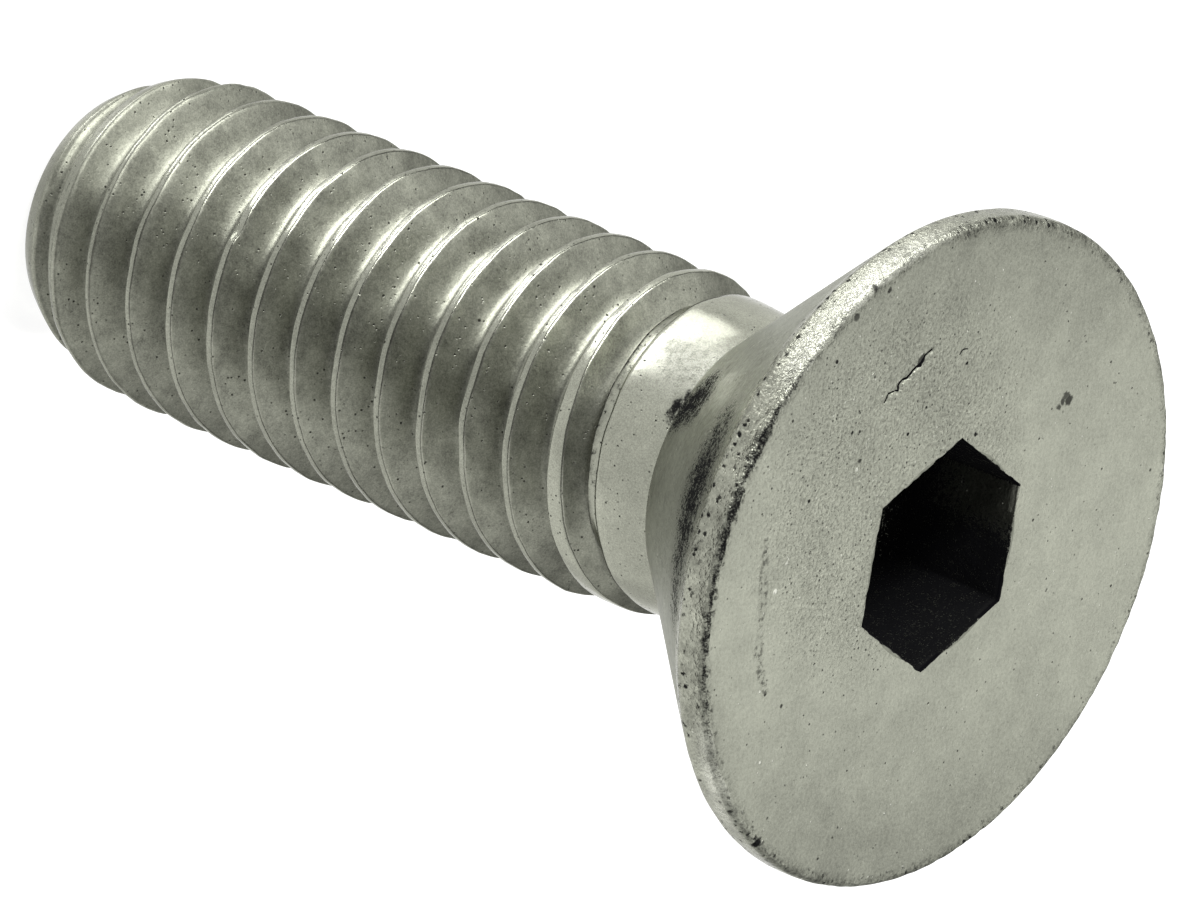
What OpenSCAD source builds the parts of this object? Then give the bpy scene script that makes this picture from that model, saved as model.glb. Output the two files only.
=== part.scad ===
// Countersunk socket screw, fully threaded, standing on its end with the head up.
// +Z runs along the axis from the end face, at z = 0, to the flat face of the head.

/* [Overall] */
// Overall length, from the end to the flat face of the head
length = 31; // [16:0.5:40]

/* [Head] */
// Diameter of the head over its straight rim
head_d = 18.44; // [16:0.02:21]
// Included angle of the countersunk cone
head_angle = 82; // [76:1:100]
// Height of the straight rim, its rounded edges included
rim_h = 0.83; // [0.6:0.01:1.6]
// Radius that rounds the edge between the rim and the flat face
face_edge_r = 0.2; // [0.08:0.01:0.3]
// Radius that rounds the edge between the rim and the cone
cone_edge_r = 0.3; // [0.1:0.01:0.5]

/* [Socket] */
// Width across the flats of the hexagon socket
socket_af = 5.56; // [4.4:0.01:6.6]
// Depth of the straight walls of the socket
socket_depth = 4.2; // [3:0.05:4.6]
// Diameter of the conical floor, as a share of the width across the flats
pilot_share = 0.92; // [0.7:0.01:0.96]
// Included angle of the conical floor
pilot_angle = 120; // [110:1:150]

/* [Thread] */
// Diameter over the crests of the thread
thread_d = 9.42; // [8.8:0.01:10.2]
// Distance from one crest to the next
pitch = 1.5875; // [1.25:0.0125:1.8]
// Included angle of the thread's flanks
thread_angle = 60; // [55:1:62]
// Width of the flat on top of the crest
crest_flat = 0.21; // [0.12:0.01:0.3]
// Width of the flat at the bottom of the groove
root_flat = 0.3; // [0.15:0.01:0.4]
// Direction of the crest's spiral where it would meet the end face
start_angle = 121; // [0:1:359]

/* [Collar] */
// Diameter of the plain collar above the last thread
collar_d = 8.84; // [8.5:0.01:9.2]
// Diameter of the waist, where the collar meets the cone
waist_d = 8.28; // [7.6:0.01:8.4]
// Length over which the collar draws in to the waist
collar_taper_l = 2.35; // [1.2:0.05:2.6]
// Distance from the end of the last groove up to the waist
runout_gap = 0.6; // [0.45:0.05:1.6]
// Turns over which the last groove grows shallow
runout_turns = 0.8; // [0.5:0.1:1.6]
// How far the last groove strays toward the head as it grows shallow
runout_drift = 0.6; // [0:0.05:0.8]

/* [Point] */
// Diameter of the flat end face
end_d = 6.5; // [5.5:0.05:7]
// Diameter at the start of the thread, above the bevelled end edge
point_d = 7.24; // [7.1:0.02:8.2]
// Height of the bevel round the end face
end_edge_h = 0.3; // [0.15:0.05:0.6]
// Length over which the crests grow to their full diameter
lead_in_l = 3; // [1.5:0.1:5]

/* [Smoothness] */
// Steps in one turn of the thread
turn_steps = 48; // [36:6:60]

/* [Hidden] */

// Rows of points that each turn of the thread takes, and the steps in a rounded edge
turn_rows = 5;
arc_steps = 4;
// Thinnest flank that a vanishing groove keeps, and the nearest that a row may come to a plain ring
flank_min = 0.06;
row_gap = 0.03;
// How the crests swell from the point to full size: 1 is a straight cone, more is rounder
lead_in_power = 1.85;
// How the last groove strays: 1 is an even drift, more is a late one
drift_power = 1;
// Turns over which the last crest sinks into the collar
crest_fade_turns = 1;
// How the collar draws in to the waist: 1 is a straight cone, more keeps it plain for longer
collar_power = 1;
// How far the cone's root reaches down into the neck, and the step it leaves round the waist
cone_root_l = 0.5;
waist_step = 0.06;
// How far the cutters of the socket stand out of the flat face and into each other
cutter_clear = 1;

head_r = head_d / 2;
thread_r = thread_d / 2;
collar_r = collar_d / 2;
waist_r = waist_d / 2;
point_r = point_d / 2;
end_r = end_d / 2;
socket_r = socket_af / sqrt(3);
pilot_r = socket_af * pilot_share / 2;

// Straight flanks run from the edge of the crest's flat to the edge of the groove's flat
thread_depth = (pitch - crest_flat - root_flat) / 2 / tan(thread_angle / 2);
root_r = thread_r - thread_depth;

rim_base_z = length - rim_h;
waist_z = rim_base_z - (head_r - waist_r) / tan(head_angle / 2);
shank_top_z = waist_z - waist_step;
collar_top_z = waist_z - collar_taper_l;
runout_z = waist_z - runout_gap;
// Plain rings that close the threaded stretch below and above
low_ring_z = end_edge_h;
high_ring_z = runout_z + root_flat / 2 + 2 * row_gap + flank_min;

// The spiral is counted in turns: a crest at t turns lies at 360 * t degrees
function crest_z(t) = pitch * (t - start_angle / 360);
function groove_z(t) = crest_z(t + 0.5) + runout_drift * pow(groove_fade(t), drift_power);
last_turn = (runout_z - runout_drift) / pitch + start_angle / 360 - 0.5;
first_turn = -2;
turns = ceil(last_turn) + 2 - first_turn;
rows = turns * turn_rows;

function clamp(x) = min(1, max(0, x));
function mix(a, b, x) = a + (b - a) * x;

// Radius of the cone of crests near the point, and of the collar as it draws in to the waist
function lead_in_r(z) =
    mix(thread_r, point_r, pow(1 - clamp((z - low_ring_z) / lead_in_l), lead_in_power));
function collar_at(z) =
    mix(collar_r, waist_r, pow(clamp((z - collar_top_z) / collar_taper_l), collar_power));

// 0 where the thread is whole and 1 where the crest, or the groove, has run out
function crest_fade(t) = clamp((t - last_turn) / crest_fade_turns + 1);
function groove_fade(t) = clamp((t - last_turn) / runout_turns + 1);

function crest_r(t, z) = mix(lead_in_r(z), collar_at(z), crest_fade(t));
function groove_r(t, z) = mix(min(root_r, lead_in_r(z)), collar_at(z), groove_fade(t));

// Length along the axis of the flank between a crest and the groove beside it
function flank_l(crest_t, groove_t) =
    let (rise = crest_r(crest_t, crest_z(crest_t)) - groove_r(groove_t, groove_z(groove_t)))
    max(flank_min, rise * tan(thread_angle / 2));

// Height of a row at t turns: the lower edge, middle and upper edge of the crest, then the two
// edges of the groove after it
function row_z(t, j) =
    j == 0 ? groove_z(t - 1) + root_flat / 2 + flank_l(t, t - 1)
    : j == 1 ? mix(row_z(t, 0), row_z(t, 2), 0.5)
    : j == 2 ? groove_z(t) - root_flat / 2 - flank_l(t, t)
    : j == 3 ? groove_z(t) - root_flat / 2
    : groove_z(t) + root_flat / 2;
function row_r(t, j, z) = j < 3 ? crest_r(t, z) : groove_r(t, z);

function turn_at(column, row) = first_turn + floor(row / turn_rows) + column / turn_steps;
function height_at(column, row) = row_z(turn_at(column, row), row % turn_rows);
function on_ring(r, column, z) = [
    r * cos(360 * column / turn_steps), r * sin(360 * column / turn_steps), z];

// Profiles of the two plain ends of the shank, as [radius, height], from the lowest ring up
end_rings = [[end_r, 0], [point_r, end_edge_h]];
neck_rings = [for (s = [0 : arc_steps]) let (z = mix(high_ring_z, shank_top_z, s / arc_steps))
    [collar_at(z), z]];

// Points: end rings, then neck rings, then the spiral rows of each column
end_points = len(end_rings) * turn_steps;
neck_points = len(neck_rings) * turn_steps;
shank_points = concat(
    [for (ring = end_rings, c = [0 : turn_steps - 1]) on_ring(ring[0], c, ring[1])],
    [for (ring = neck_rings, c = [0 : turn_steps - 1]) on_ring(ring[0], c, ring[1])],
    [for (c = [0 : turn_steps - 1], m = [0 : rows - 1])
        let (t = turn_at(c, m), z = height_at(c, m)) on_ring(row_r(t, m % turn_rows, z), c, z)]);

function end_index(ring, column) = ring * turn_steps + column % turn_steps;
function neck_index(ring, column) = end_points + ring * turn_steps + column % turn_steps;
// A row below the low ring or above the high one becomes that ring's own point. One turn on, the
// columns start again with the rows of the turn above.
function row_index(column, row) =
    column == turn_steps ? row_index(0, row + turn_rows)
    : row >= rows ? neck_index(0, column)
    : height_at(column, row) < low_ring_z + row_gap ? end_index(1, column)
    : height_at(column, row) > high_ring_z - row_gap ? neck_index(0, column)
    : end_points + neck_points + column * rows + row;

function whole(face) = face[0] != face[1] && face[1] != face[2] && face[2] != face[0];
function ring_faces(lower, upper) = [for (c = [0 : turn_steps - 1], side = [0, 1])
    side == 0
        ? [lower(c), upper(c + 1), lower(c + 1)]
        : [lower(c), upper(c), upper(c + 1)]];

shank_faces = concat(
    [[for (c = [0 : turn_steps - 1]) end_index(0, c)]],
    ring_faces(function (c) end_index(0, c), function (c) end_index(1, c)),
    [for (m = [0 : rows - 1])
        each [for (face = ring_faces(function (c) row_index(c, m), function (c) row_index(c, m + 1)))
            if (whole(face)) face]],
    [for (s = [0 : arc_steps - 1])
        each ring_faces(function (c) neck_index(s, c), function (c) neck_index(s + 1, c))],
    [[for (c = [turn_steps - 1 : -1 : 0]) neck_index(arc_steps, c)]]);

// Shank: end edge, lead-in, rolled thread, run-out, collar and waist
module shank() {
    polyhedron(points = shank_points, faces = shank_faces, convexity = 12);
}

// Points of a rounded edge about a centre, from one direction to another
function edge_arc(cx, cz, r, from, to) = [for (s = [0 : arc_steps])
    let (a = mix(from, to, s / arc_steps)) [cx + r * cos(a), cz + r * sin(a)]];

// Head: the cone from its root in the neck, the straight rim and the flat face
module head() {
    slope = head_angle / 2;
    root_z = shank_top_z - cone_root_l;
    root_cone_r = waist_r - (waist_z - root_z) * tan(slope);
    edge_back = cone_edge_r * tan(slope / 2);
    rotate_extrude($fn = 96)
        polygon(concat(
            [[0, root_z], [root_cone_r, root_z]],
            edge_arc(head_r - cone_edge_r, rim_base_z + edge_back, cone_edge_r, -slope, 0),
            edge_arc(head_r - face_edge_r, length - face_edge_r, face_edge_r, 0, 90),
            [[0, length]]));
}

// Socket: hexagon with a corner on +X, and the conical floor that the drill leaves below it
module socket_cutter() {
    floor_z = length - socket_depth;
    translate([0, 0, floor_z])
        cylinder(r = socket_r, h = socket_depth + cutter_clear, $fn = 6);
    rotate_extrude($fn = 72)
        polygon([
            [0, floor_z - pilot_r / tan(pilot_angle / 2)],
            [pilot_r, floor_z],
            [pilot_r, floor_z + cutter_clear],
            [0, floor_z + cutter_clear]]);
}

module screw() {
    color([0.64, 0.645, 0.58])
        difference() {
            union() {
                shank();
                head();
            }
            socket_cutter();
        }
}

screw();
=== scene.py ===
# Looks of the countersunk socket screw: one worn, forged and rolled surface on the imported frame
import math

import bmesh
import bpy
import numpy as np
from mathutils import Matrix, Vector


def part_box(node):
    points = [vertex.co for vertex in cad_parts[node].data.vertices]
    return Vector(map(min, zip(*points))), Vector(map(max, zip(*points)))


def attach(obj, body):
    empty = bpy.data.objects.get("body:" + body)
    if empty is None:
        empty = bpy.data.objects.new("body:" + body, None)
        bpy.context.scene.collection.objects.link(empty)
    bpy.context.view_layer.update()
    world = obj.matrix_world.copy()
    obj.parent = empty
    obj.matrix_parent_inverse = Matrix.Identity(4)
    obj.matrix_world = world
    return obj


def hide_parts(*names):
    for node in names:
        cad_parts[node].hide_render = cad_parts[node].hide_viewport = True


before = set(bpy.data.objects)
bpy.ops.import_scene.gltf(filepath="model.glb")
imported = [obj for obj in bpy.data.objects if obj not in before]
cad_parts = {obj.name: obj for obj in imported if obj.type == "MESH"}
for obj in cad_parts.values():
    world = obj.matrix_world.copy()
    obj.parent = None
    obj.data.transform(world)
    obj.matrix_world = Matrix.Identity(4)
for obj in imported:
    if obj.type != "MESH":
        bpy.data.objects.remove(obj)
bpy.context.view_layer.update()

mm = 0.001
boxLow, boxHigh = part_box("screw")
print("frame loaded: the screw is", round(boxHigh.z / mm, 2), "mm long")


# Small helpers: every shape below is in millimetres and becomes metres in the mesh.

def mixed(a, b, share):
    # a where the share is 0, b where it is 1
    return a + (b - a) * share


def unit(x):
    # x held between 0 and 1
    return np.clip(x, 0.0, 1.0)


def eased(x, start, end):
    # 0 up to start and 1 from end on, with a smooth S between them; it falls where end is the lower
    s = unit((x - start) / (end - start))
    return s * s * (3 - 2 * s)


def ramp(x, soft):
    # Smooth form of the larger of x and 0: half of x plus the root of x squared and the softness
    return 0.5 * (x + np.sqrt(x * x + 4 * soft * soft))


def hill(distance, width):
    # Bell curve of a distance: 1 at its middle, about a third at one width
    return np.exp(-(distance / width) ** 2)


def turned(degrees):
    # Angle brought to the half turn either side of zero
    return (degrees + 180) % 360 - 180


def placed(name, data):
    # A new object with this data, in the scene
    thing = bpy.data.objects.new(name, data)
    bpy.context.scene.collection.objects.link(thing)
    return thing


def setInputs(node, values):
    # Plain values for the sockets of a node, by their names
    for name, value in values.items():
        node.inputs[name].default_value = value


noises = {
    # length of the waves in millimetres, and the seed
    "rolled": (1.6, 11),
    "crest": (0.5, 12),
    "wander": (2.4, 13),
    "faceEdge": (0.45, 21),
    "forge": (1.5, 22),
    "rim": (0.7, 23),
    "faceSlow": (2.2, 31),
    "faceQuick": (0.38, 32),
    "seam": (0.4, 41),
    "mouth": (0.5, 51),
}


def waveNoise(points, name, waves=48):
    # Sum of flat waves of about one length in all directions, about -1 to 1
    size, seed = noises[name]
    rng = np.random.default_rng(seed)
    way = rng.normal(size=(waves, 3))
    way /= np.linalg.norm(way, axis=1)[:, None]
    way *= (2 * math.pi / size) * rng.uniform(0.6, 1.6, size=(waves, 1))
    phase = rng.uniform(0, 2 * math.pi, size=waves)
    total = np.zeros(points.shape[:-1])
    for k in range(waves):
        total += np.sin(points @ way[k] + phase[k])
    return total / math.sqrt(waves)


# Head, socket and shank, in millimetres

head = {
    "coneAngle": 82.0,
    "rimHeight": 0.83,
    "faceEdge": 0.2,      # radius between rim and face
    "coneEdge": 0.3,      # radius between rim and cone
    "coneRows": 15,
    "arcRows": 5,
    "rimRows": 7,
}
socket = {
    "acrossFlats": 5.56,
    "depth": 4.2,
    "drillShare": 0.92,   # drilled floor against the width across flats
    "drillAngle": 120.0,
    "mouthWear": 0.05,
    "mouthRing": 3.2,     # radius at which the wear's noise is read
    "litWallAngles": (84, 106, 119.5),  # angles over which one wall grows lighter in the painted shade, and where it ends
    "litWallDepth": (3.6, 1.5),
    "litWallShare": 0.85,
    "wallRows": 7,
    "floorRows": 5,
}
thread = {
    "pitch": 1.5875,
    "crestDiameter": 9.42,
    "crestFlat": 0.21,
    "rootFlat": 0.3,
    "flankAngle": 60.0,
    "startAngle": 121.0,
    "rootRound": 0.3,     # half width over which the groove's floor bends up into its sides
    "crestRound": 0.018,  # softness of the crest's edges
    "tipRound": 0.06,     # the same on the first turns, which are worn
    "wornTurns": (2.0, 5.5),
    "flankMin": 0.06,     # shortest flank that a vanishing groove keeps
    "columns": 150,       # steps in one turn
    "polishDepth": (0.05, 0.01),  # below the crest, where its polish begins and is whole
}
collar = {
    "diameter": 8.84,
    "waistDiameter": 8.28,
    "taper": 2.35,        # length over which it draws in
    "bow": 0.06,          # how far its side bows out
    "runoutGap": 0.6,
    "runoutTurns": 0.8,
    "runoutDrift": 0.6,
    "crestFadeTurns": 1.0,
}
point = {
    "endDiameter": 6.5,
    "diameter": 7.24,
    "edgeHeight": 0.3,
    "leadIn": 3.0,
    "leadInPower": 1.85,
    "edgeRows": 6,
    "endRows": 6,
}

length = boxHigh.z / mm
headRadius = boxHigh.x / mm
coneSlope = math.tan(math.radians(head["coneAngle"] / 2))
waistRadius = collar["waistDiameter"] / 2
collarRadius = collar["diameter"] / 2
crestRadius = thread["crestDiameter"] / 2
pitch = thread["pitch"]
flankTan = math.tan(math.radians(thread["flankAngle"] / 2))
rootRadius = crestRadius - (pitch - thread["crestFlat"] - thread["rootFlat"]) / 2 / flankTan
# The groove's section is a hyperbola as deep as the plain V, which leaves the crest's flat its width
halfGroove = (pitch - thread["crestFlat"]) / 2
grooveRise = math.hypot(halfGroove, thread["rootRound"]) - thread["rootRound"]
grooveSlope = grooveRise / (crestRadius - rootRadius)
rimBase = length - head["rimHeight"]
waistHeight = rimBase - (headRadius - waistRadius) / coneSlope
collarTop = waistHeight - collar["taper"]
startTurn = thread["startAngle"] / 360
lastTurn = (waistHeight - collar["runoutGap"] - collar["runoutDrift"]) / pitch + startTurn - 0.5
shankColumns = thread["columns"]
headColumns = 2 * shankColumns


def leadInRadius(z):
    # Cone of crests at the point: full size above, less by a power of the height that is left below
    left = 1 - unit((z - point["edgeHeight"]) / point["leadIn"])
    return mixed(crestRadius, point["diameter"] / 2, left ** point["leadInPower"])


def collarRadiusAt(z):
    # Plain collar that draws in evenly to the waist, and bows out by a parabola
    share = unit((z - collarTop) / collar["taper"])
    return mixed(collarRadius, waistRadius, share) + 4 * collar["bow"] * share * (1 - share)


def grooveFade(t):
    # 0 where the groove has its full depth, 1 where it has run out
    return unit((t - lastTurn) / collar["runoutTurns"] + 1)


def crestFade(t):
    # 0 where the crest is whole, 1 where it has sunk into the collar
    return unit((t - lastTurn) / collar["crestFadeTurns"] + 1)


def crestHeight(t):
    # Height of the spiral after t turns
    return pitch * (t - startTurn)


def grooveHeight(t):
    # Middle of the groove after the crest at t, which strays toward the head as it runs out
    return crestHeight(t + 0.5) + collar["runoutDrift"] * grooveFade(t)


def grooveFloor(t, z):
    # Radius of the groove's floor: the root, which the point cuts short, mixed with the collar
    return mixed(np.minimum(rootRadius, leadInRadius(z)), collarRadiusAt(z), grooveFade(t))


def envelope(t, z):
    # Radius of the crests: the lead-in's cone mixed with the collar
    return mixed(leadInRadius(z), collarRadiusAt(z), crestFade(t))


def shankRadius(turn, z):
    # The lowest of the three grooves nearest to this height, each a hyperbola across the groove, cut
    # into the envelope of the crests, with rounded crest edges
    nearest = np.floor(z / pitch + startTurn - turn)
    surface = np.full(np.broadcast(turn, z).shape, 1e3)
    clear = 5.0  # lifts a groove that has run out clear of the crests
    for step in (-1, 0, 1):
        t = turn + nearest + step
        rise = np.hypot(z - grooveHeight(t), thread["rootRound"]) - thread["rootRound"]
        wall = grooveFloor(t, z) + rise / grooveSlope
        wall = wall + clear * (grooveFade(t) >= 1)
        surface = np.minimum(surface, wall)
    crest = turn + np.round(z / pitch + startTurn - turn)
    top = envelope(crest, z)
    worn = mixed(thread["tipRound"], thread["crestRound"], eased(crest, *thread["wornTurns"]))
    return top - ramp(top - surface, worn)


def flankLength(crestTurn, grooveTurn):
    # Length along the axis of the flank between a crest and the groove beside it
    top = envelope(crestTurn, crestHeight(crestTurn))
    rise = top - grooveFloor(grooveTurn, grooveHeight(grooveTurn))
    return np.maximum(thread["flankMin"], rise * flankTan)


# Rows of points across one ridge and one groove, as shares of each stretch
crestShares = np.array([0.0, 0.02, 0.1, 0.28, 0.45, 0.55, 0.62, 0.7, 0.78, 0.9, 1.0])
fallShares = np.array([0.05, 0.14, 0.36, 0.62, 0.86])
rootShares = np.array([-1.0, -0.5, 0.0, 0.5, 1.0])
riseShares = np.array([0.14, 0.38, 0.64, 0.86, 0.95])
rowsPerTurn = len(crestShares) + len(fallShares) + len(rootShares) + len(riseShares)


def shankRows():
    # Heights of the rows that follow the spiral: crest, fall to the groove, floor, rise to the next
    # crest, for each turn and column. One turn on, the columns start again a turn higher.
    first = -2
    last = math.ceil(lastTurn) + 2
    column = np.arange(shankColumns + 1)
    t = np.arange(first, last)[:, None, None] + column / shankColumns
    half = thread["rootFlat"] / 2
    low = grooveHeight(t - 1) + half + flankLength(t, t - 1)
    high = grooveHeight(t) - half - flankLength(t, t)
    floorLow = grooveHeight(t) - half
    floorHigh = grooveHeight(t) + half
    nextLow = floorHigh + flankLength(t + 1, t)
    rows = np.concatenate([
        mixed(low, high, crestShares[None, :, None]),
        mixed(high, floorLow, fallShares[None, :, None]),
        grooveHeight(t) + half * rootShares[None, :, None],
        mixed(floorHigh, nextLow, riseShares[None, :, None]),
    ], axis=1)
    rows = rows.reshape(-1, shankColumns + 1)
    return np.clip(rows, point["edgeHeight"], waistHeight)


def turnAngles(columns):
    # Angles of the columns of one turn, the last the same as the first
    return 2 * math.pi * (np.arange(columns + 1) % columns) / columns


def aroundAxis(radius, angle, height):
    # Points at a radius, an angle and a height, of one shape or stretched to it
    return np.stack([radius * np.cos(angle), radius * np.sin(angle), height + 0 * angle * radius], -1)


def ringPoints(radius, height, columns):
    # Points of plain rings: one row for each radius and height, closed on its first column
    angle = turnAngles(columns)
    return aroundAxis(np.asarray(radius)[:, None], angle, np.asarray(height)[:, None])


def arcProfile(middle, height, radius, start, end, rows):
    # Quarter of a round edge: radius and height from one direction to another, in degrees
    angle = np.radians(np.linspace(start, end, rows))
    return middle + radius * np.cos(angle), height + radius * np.sin(angle)


def socketRadius(angle):
    # Hexagon with a corner on +X: half the width across flats over the cosine from the flat's middle
    return socket["acrossFlats"] / 2 / np.cos(angle % (math.pi / 3) - math.pi / 6)


def mouthWearAt(angle):
    # The worn edge of the socket's mouth is uneven: its radius times a noise along the edge
    place = aroundAxis(socket["mouthRing"], angle, 0)
    return socket["mouthWear"] * (0.6 + 0.9 * unit(0.3 + 0.7 * waveNoise(place, "mouth")))


# Marks of use, of the forge and of painted light, in millimetres and in degrees about the axis

# Lines on the face: x, y and half width of each bend
crack = [
    (-5.84, -1.88, 0.012), (-5.76, -2.02, 0.017), (-5.7, -2.1, 0.024), (-5.57, -2.17, 0.044),
    (-5.46, -2.24, 0.048), (-5.43, -2.35, 0.028), (-5.38, -2.44, 0.024), (-5.26, -2.57, 0.03),
    (-5.15, -2.68, 0.028), (-5.13, -2.86, 0.018), (-5.06, -2.96, 0.024), (-4.98, -3.0, 0.024),
    (-4.84, -2.95, 0.02), (-4.85, -3.1, 0.007), (-4.82, -3.23, 0.009), (-4.79, -3.35, 0.023),
    (-4.7, -3.38, 0.02), (-4.57, -3.45, 0.01),
]
crackSide = [(-5.71, -2.22, 0.04), (-5.59, -2.33, 0.06), (-5.49, -2.35, 0.03)]
hairCrack = [
    (-5.71, -0.43, 0.004), (-5.715, -0.56, 0.012), (-5.68, -0.65, 0.02), (-5.58, -0.7, 0.01),
]
streak = [
    (-1.28, -7.31, 0.02), (-0.3, -7.15, 0.08), (0.55, -7.0, 0.1), (1.2, -6.92, 0.03),
    (1.85, -6.84, 0.1), (3.0, -6.28, 0.04),
]
# Dark spots on the face: x, y, radius and how dark; and painted glints: x, y and radius
darkSpots = [
    (-5.32, -0.37, 0.045, 0.9), (-4.27, -1.73, 0.035, 0.8), (-5.69, -3.76, 0.035, 0.6),
    (-5.34, -4.07, 0.04, 0.5), (-4.59, -1.67, 0.03, 0.6), (-5.92, -5.71, 0.05, 0.8),
    (-3.89, -4.6, 0.05, 0.8), (-3.9, -4.29, 0.045, 0.7), (-3.6, -2.3, 0.045, 0.9),
    (-3.07, -4.07, 0.06, 0.6), (-2.2, -5.86, 0.045, 0.8), (-4.49, -7.07, 0.04, 0.6),
    (-3.27, 0.52, 0.05, 0.8), (-0.54, 3.63, 0.04, 0.6), (-4.7, 5.75, 0.035, 0.7),
    (3.41, -5.54, 0.05, 0.6), (3.01, -6.27, 0.04, 0.7), (-7.68, -4.08, 0.07, 0.6),
    (-7.07, -5.23, 0.1, 0.5), (-7.79, -4.66, 0.08, 0.6), (-3.8, 4.24, 0.13, 0.6),
    (-3.93, 4.1, 0.12, 0.5), (-3.78, 4.02, 0.1, 0.55), (-3.66, 3.86, 0.08, 0.5),
    (-1.39, 8.33, 0.04, 0.5), (7.2, -5.5, 0.13, 0.85),
]
glintSpots = [
    (-0.58, -6.31, 0.05), (0.17, -6.56, 0.07), (-2.85, -4.15, 0.05), (2.9, -6.5, 0.04),
    (4.9, -6.0, 0.04),
]
faceDents = [
    # x, y, width, depth
    (-3.8, 4.1, 0.2, 0.04), (-8.35, 0.64, 0.09, 0.05), (7.2, -5.5, 0.22, 0.06),
    (-3.07, -4.07, 0.12, 0.03), (0.17, -6.56, 0.16, 0.03),
]
# Partly stains, partly painted shade and dark reflection by the waist and under the rim
# Soft dark patches on the cone: angle, height, half width round it, half width up it, and how dark
coneStainsAndShade = [
    (-119.0, 24.7, 0.45, 0.5, 0.9), (-123.5, 24.95, 0.6, 0.75, 1.0), (-128.0, 25.3, 0.6, 0.8, 1.0),
    (-122.0, 25.75, 0.5, 0.45, 0.85), (-132.0, 25.3, 0.4, 0.6, 0.85), (-126.0, 26.0, 0.5, 0.4, 0.8),
    (-116.0, 28.75, 0.8, 0.75, 0.66), (-111.0, 28.8, 0.9, 0.9, 0.84),
    (-106.5, 28.85, 0.9, 1.0, 0.97), (-102.0, 28.85, 0.9, 1.0, 0.97), (-98.0, 28.9, 0.9, 0.9, 0.88),
    (-93.0, 29.0, 1.0, 0.8, 0.72), (-87.0, 29.2, 1.1, 0.6, 0.55), (60.0, 28.2, 1.6, 0.6, 0.5),
    (150.0, 25.6, 0.8, 0.7, 0.5),
]
# The first of them reaches over the waist onto the collar
# Partly stains, partly painted shade in the crease at the waist
collarStainsAndShade = [
    (-120.5, 24.2, 0.3, 0.26, 0.72), (-124.5, 24.2, 0.34, 0.24, 0.78),
    (-129.0, 24.28, 0.3, 0.16, 0.6),
]
# Painted highlights on the rim and the cone, placed like the dark patches
highlightPatches = [
    (-55.0, 30.78, 0.75, 0.3, 0.75), (-47.0, 30.55, 0.6, 0.3, 0.6), (-63.0, 30.85, 0.6, 0.2, 0.45),
    (-134.5, 30.75, 1.2, 0.35, 0.6), (-149.0, 30.8, 1.8, 0.35, 0.8), (-160.0, 30.8, 1.2, 0.3, 0.5),
    (-129.5, 27.0, 0.3, 0.55, 0.45), (-124.5, 27.5, 0.3, 0.45, 0.4),
]
# The seam's darkness is painted shade and dark reflection in the rounded edge
# Dark seam between the rim and the face: angles at which its strength is given, and the strength
rimSeam = {
    "angle": [-180, -165, -156, -145, -130, -122, -108, -90, -76, -66, -50, -37, -20, 40, 180],
    "strength": [0.2, 0.2, 0.25, 0.2, 0.38, 0.56, 0.6, 0.6, 0.53, 0.38, 0.26, 0.3, 0.26, 0.25, 0.2],
    "start": 0.02,        # from the flat of the face, in millimetres outward and down
    "end": 0.2,
    "soft": 0.13,
    "wander": 0.09,
    "shadeBelow": 0.7,          # softer painted shade below it, and its length
    "fade": 0.35,
    "reach": 0.3,         # how far in over the face it is drawn
}
wear = {
    "rimNick": 0.05,      # raggedness of the face's outer edge
    "nickDrop": 0.6,      # how far a nick reaches down, against how far it reaches in
    "nickHeight": 0.14,   # half its height on the rim, and half its width on the face
    "nickWidth": 0.16,
    "nickBand": (0.8, 0.1),  # distances from the rim over which it begins
    "rimDent": 0.006,
    "rimBand": 0.35,      # width at the head's edge that counts as its rim
    "rimLean": 0.045,
    "leanBand": (0.5, 0.1),  # distances below the face over which the rim leans in
    "forge": 0.008,       # slow unevenness of the forged head
    "quick": 0.006,       # quicker unevenness of its face
    "rolled": 0.006,      # slow unevenness of the rolled thread
    "calmEnds": (0.5, 0.4),  # lengths over which it begins at the shank's two ends
    "calmGroove": 0.3,    # depth of the groove without dents
    "crestRough": 0.006,
    "crestWander": 0.018,
    "crack": 0.06,        # depth of the crack, and the width of its sides
    "crackSide": 0.07,
    "hairCrack": 0.03,
    "hairSide": 0.05,
    "crestHighlight": 0.55,        # painted highlight: a brighter stretch of the crests
    "crestHighlightAngle": -141.0,
    "crestHighlightSpan": 13.0,
}
# The fold that rolling leaves along the crests, in millimetres, degrees and turns
fold = {
    "depth": 0.016,
    "width": 0.018,
    # the fold's dark line is painted shade in the crease
    "sootAndShade": 0.75,
    "drop": 0.03,             # below the crest's middle
    "lastDrop": 0.09,         # and this much more on the last turn
    "angle": -131.0,          # middle of the stretch where it shows
    "span": 6.0,
    "lateTurns": (7.0, 11.5), # over these the stretch moves on and grows longer
    "lateShift": -4.0,
    "lateSpan": 8.0,
    "farAngle": 40.0,         # a second stretch on the far side
    "farSpan": 30.0,
    "farShare": 0.7,
    "growTurns": (5.5, 9.5),  # over these it grows to its full depth
    "runoutLoss": 0.3,
    "tipTurn": 1.75,          # a short one near the point
    "tipSpan": 0.12,
    "tipShare": 0.8,
}
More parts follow.
